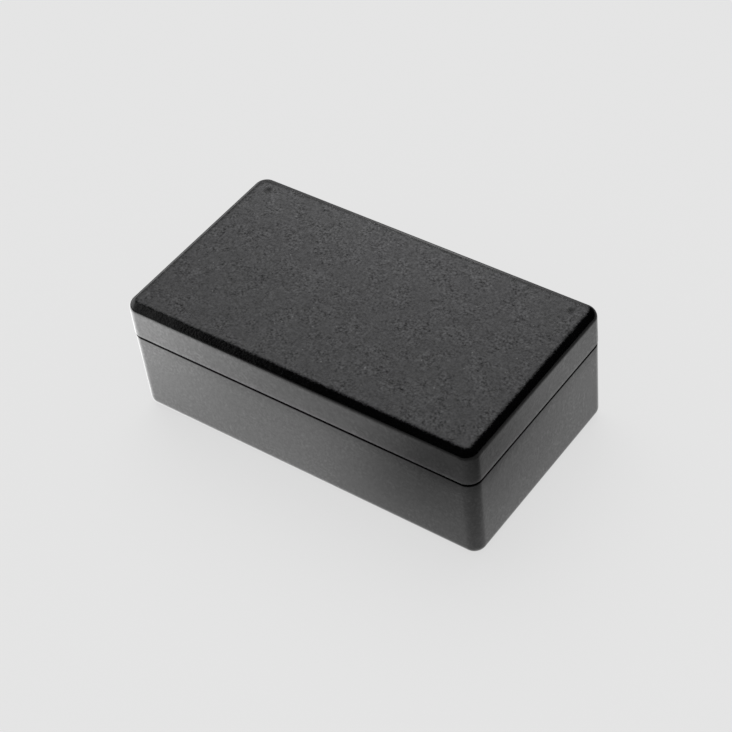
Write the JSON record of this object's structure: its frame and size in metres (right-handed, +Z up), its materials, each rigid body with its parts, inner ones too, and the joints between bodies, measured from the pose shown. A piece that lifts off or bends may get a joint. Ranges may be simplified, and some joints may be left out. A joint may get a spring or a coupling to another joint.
{
  "type": "plastic project box",
  "caption": "Small black moulded electronics project box: a deep base and a shallow lid that meet at a shadow gap and are screwed together from the underside.",
  "frame": {"origin": "centre of the underside, on the surface that the box stands on", "axes": "+X along the length, +Y across the width, +Z up through the lid"},
  "size_m": [0.09, 0.05, 0.031],
  "materials": {
    "shell_plastic": "near-black, fine spark-eroded grain on the top face, smoother satin sides",
    "screw_steel": "zinc plated, dull"
  },
  "bodies": {
    "root": {"base": "shell_plastic", "lid": "shell_plastic", "case_screws": "screw_steel"}
  },
  "joints": []
}
